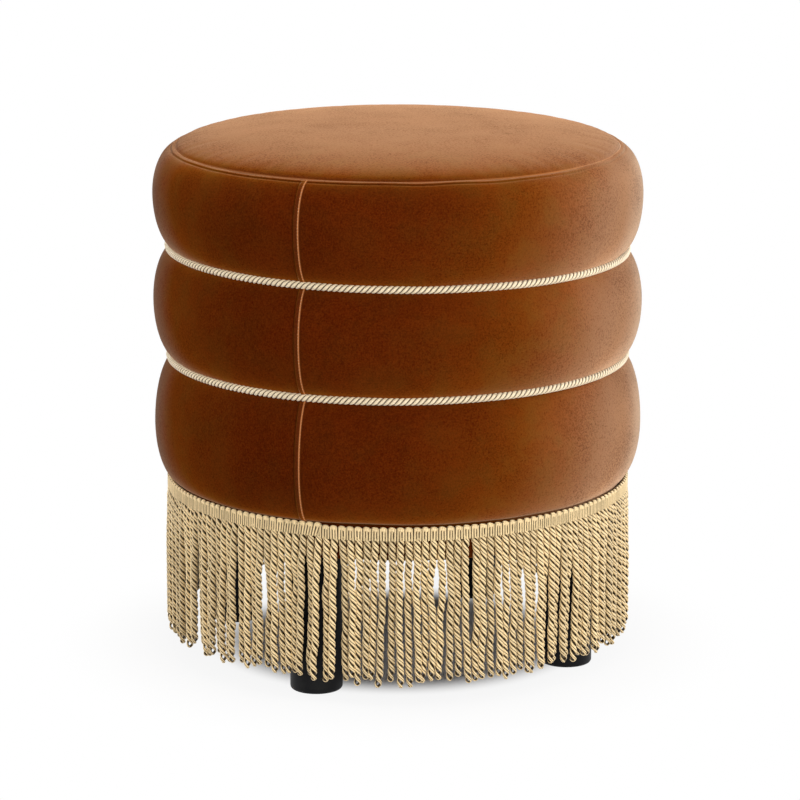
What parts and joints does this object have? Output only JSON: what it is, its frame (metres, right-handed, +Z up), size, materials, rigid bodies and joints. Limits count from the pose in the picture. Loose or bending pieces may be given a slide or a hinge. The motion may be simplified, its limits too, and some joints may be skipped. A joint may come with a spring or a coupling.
{
  "type": "tuffet",
  "caption": "Round upholstered footstool with a crowned seat, three stacked velvet rolls, cord in each groove, a bullion fringe and short black legs.",
  "frame": {"origin": "on the floor, under the centre of the seat", "axes": "+Z up through the middle of the seat; the legs stand on the diagonals between X and Y"},
  "size_m": [0.432, 0.432, 0.4682],
  "materials": {
    "velvet": "rust brown velvet with a soft sheen",
    "groove_cord": "cream twisted cord",
    "bullion_fringe": "beige twisted bullion yarn",
    "wadding": "white polyester wadding",
    "foam": "pale open-cell foam",
    "plywood": "raw plywood",
    "hardboard": "raw hardboard",
    "pine": "planed softwood",
    "zinc_steel": "zinc plated",
    "black_leg": "black satin lacquer",
    "dust_cloth": "black nonwoven cloth"
  },
  "bodies": {
    "root": {"velvet_top_panel": "velvet", "velvet_upper_band": "velvet", "velvet_middle_band": "velvet", "velvet_lower_band": "velvet", "upper_groove_cord": "groove_cord", "lower_groove_cord": "groove_cord", "fringe_front_left": "bullion_fringe", "fringe_front_right": "bullion_fringe", "fringe_back_left": "bullion_fringe", "fringe_back_right": "bullion_fringe", "seat_wadding": "wadding", "seat_foam": "foam", "seat_edge_foam": "foam", "middle_roll_foam": "foam", "lower_roll_foam": "foam", "top_board": "plywood", "base_board": "plywood", "drum_wall": "hardboard", "post_1": "pine", "post_2": "pine", "post_3": "pine", "post_4": "pine", "top_screw_1": "zinc_steel", "top_screw_2": "zinc_steel", "top_screw_3": "zinc_steel", "top_screw_4": "zinc_steel", "base_screw_1": "zinc_steel", "base_screw_2": "zinc_steel", "base_screw_3": "zinc_steel", "base_screw_4": "zinc_steel", "tee_nut_1": "zinc_steel", "tee_nut_2": "zinc_steel", "tee_nut_3": "zinc_steel", "tee_nut_4": "zinc_steel", "hanger_bolt_1": "zinc_steel", "hanger_bolt_2": "zinc_steel", "hanger_bolt_3": "zinc_steel", "hanger_bolt_4": "zinc_steel", "leg_1": "black_leg", "leg_2": "black_leg", "leg_3": "black_leg", "leg_4": "black_leg", "dust_cover": "dust_cloth"}
  },
  "joints": []
}
